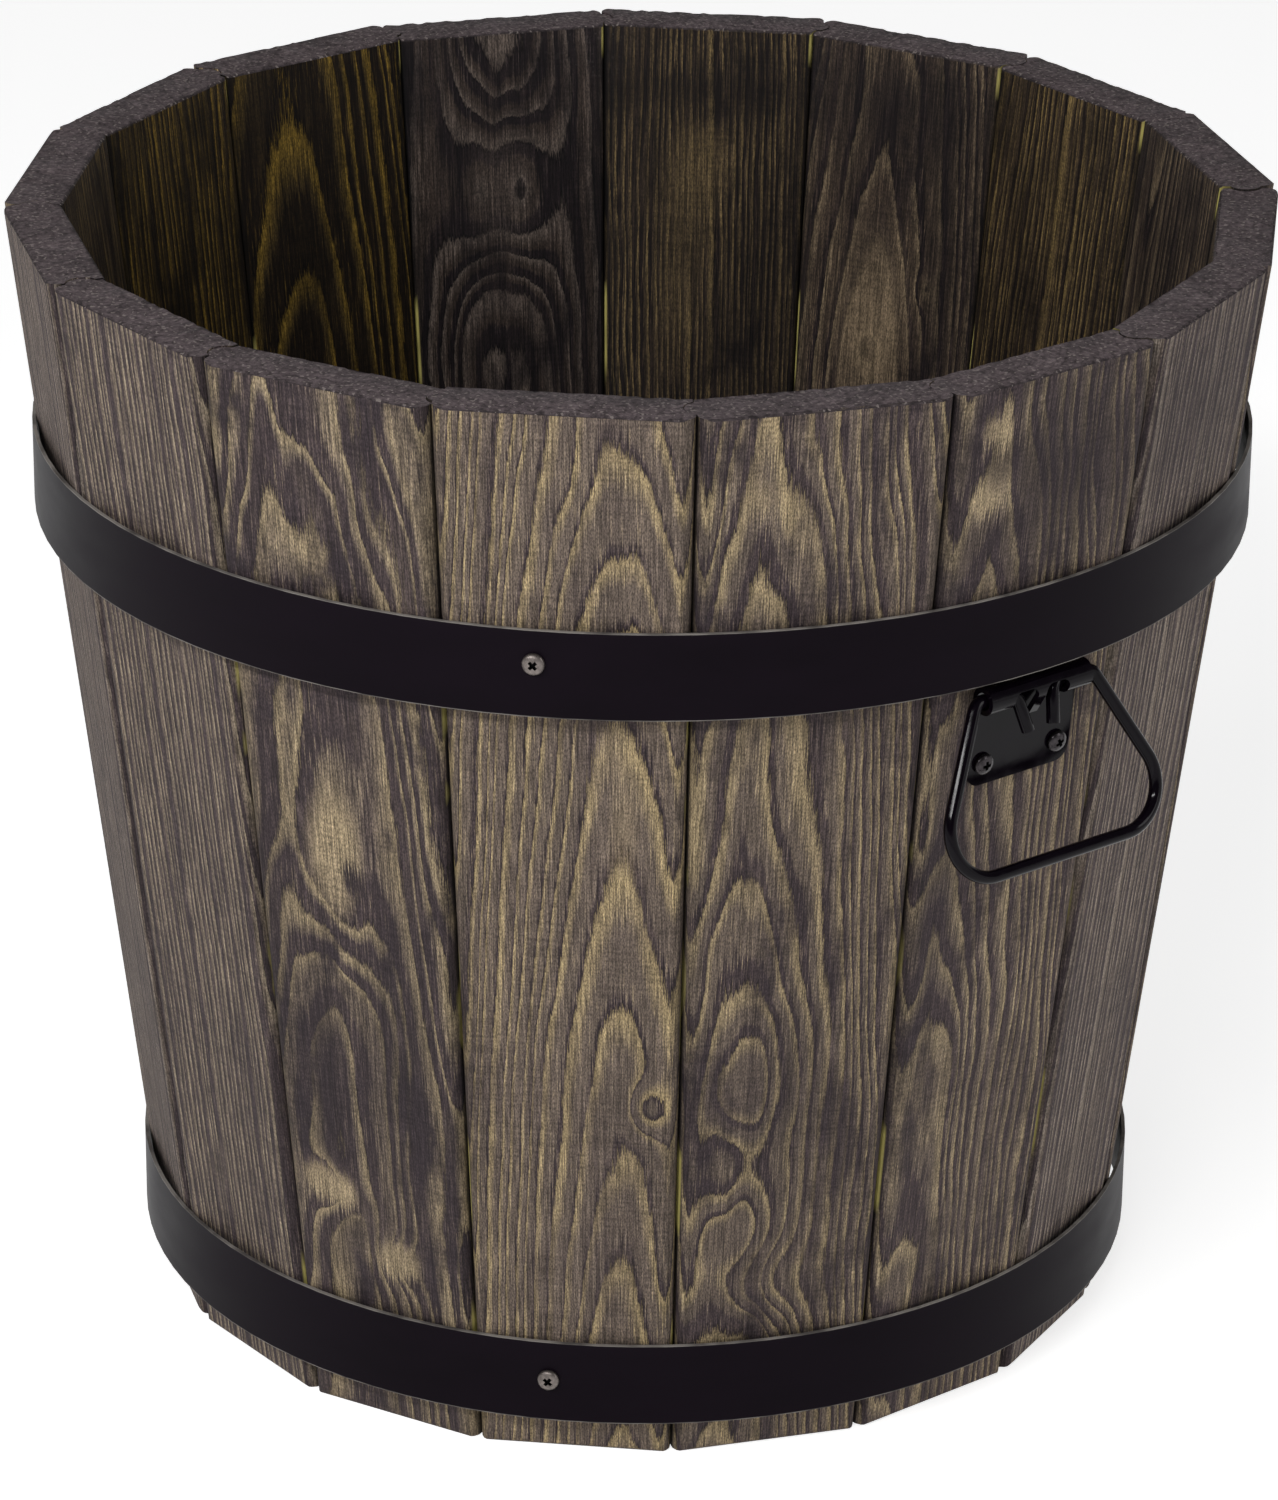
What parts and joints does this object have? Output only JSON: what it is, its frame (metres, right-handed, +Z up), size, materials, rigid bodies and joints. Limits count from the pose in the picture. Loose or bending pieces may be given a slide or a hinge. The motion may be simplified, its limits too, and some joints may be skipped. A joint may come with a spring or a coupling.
{
  "type": "barrel planter",
  "caption": "Round tapered wooden barrel planter, open at the top, with edge-jointed staves, flat steel hoops, a boarded bottom with drain holes and wire drop handles on opposite sides.",
  "frame": {"origin": "on the floor, under the middle of the barrel", "axes": "+Z up along the barrel's axis; +X towards the right handle and -X towards the left handle"},
  "size_m": [0.4984, 0.4738, 0.435],
  "materials": {
    "charred_pine": "lightly charred and dark stained pine, matt",
    "raw_pine": "sawn pine, thinly stained, matt",
    "black_hoop_steel": "satin black paint",
    "black_handle_steel": "gloss black paint",
    "dark_zinc": "dark zinc plate"
  },
  "bodies": {
    "barrel": {"stave_01": "charred_pine", "stave_02": "charred_pine", "stave_03": "charred_pine", "stave_04": "charred_pine", "stave_05": "charred_pine", "stave_06": "charred_pine", "stave_07": "charred_pine", "stave_08": "charred_pine", "stave_09": "charred_pine", "stave_10": "charred_pine", "stave_11": "charred_pine", "stave_12": "charred_pine", "stave_13": "charred_pine", "stave_14": "charred_pine", "stave_15": "charred_pine", "stave_16": "charred_pine", "bottom_board_1": "raw_pine", "bottom_board_2": "raw_pine", "bottom_board_3": "raw_pine", "bottom_board_4": "raw_pine", "bottom_board_5": "raw_pine", "upper_hoop": "black_hoop_steel", "upper_hoop_screw_1": "dark_zinc", "upper_hoop_screw_2": "dark_zinc", "upper_hoop_screw_3": "dark_zinc", "upper_hoop_rivet_1": "black_hoop_steel", "upper_hoop_rivet_2": "black_hoop_steel", "lower_hoop": "black_hoop_steel", "lower_hoop_screw_1": "dark_zinc", "lower_hoop_screw_2": "dark_zinc", "lower_hoop_screw_3": "dark_zinc", "lower_hoop_rivet_1": "black_hoop_steel", "lower_hoop_rivet_2": "black_hoop_steel", "right_handle_bracket": "black_handle_steel", "right_handle_screw_1": "dark_zinc", "right_handle_screw_2": "dark_zinc", "left_handle_bracket": "black_handle_steel", "left_handle_screw_1": "dark_zinc", "left_handle_screw_2": "dark_zinc"},
    "right_handle": {"right_handle_loop": "black_handle_steel"},
    "left_handle": {"left_handle_loop": "black_handle_steel"}
  },
  "joints": [
    {"name": "right_handle_hinge", "type": "hinge", "parent": "barrel", "child": "right_handle", "pos_m": [0.22816, 0, 0.3115], "axis": [0, -1, 0], "range_deg": [-26, 60]},
    {"name": "left_handle_hinge", "type": "hinge", "parent": "barrel", "child": "left_handle", "pos_m": [-0.22816, 0, 0.3115], "axis": [0, 1, 0], "range_deg": [-26, 60]}
  ]
}
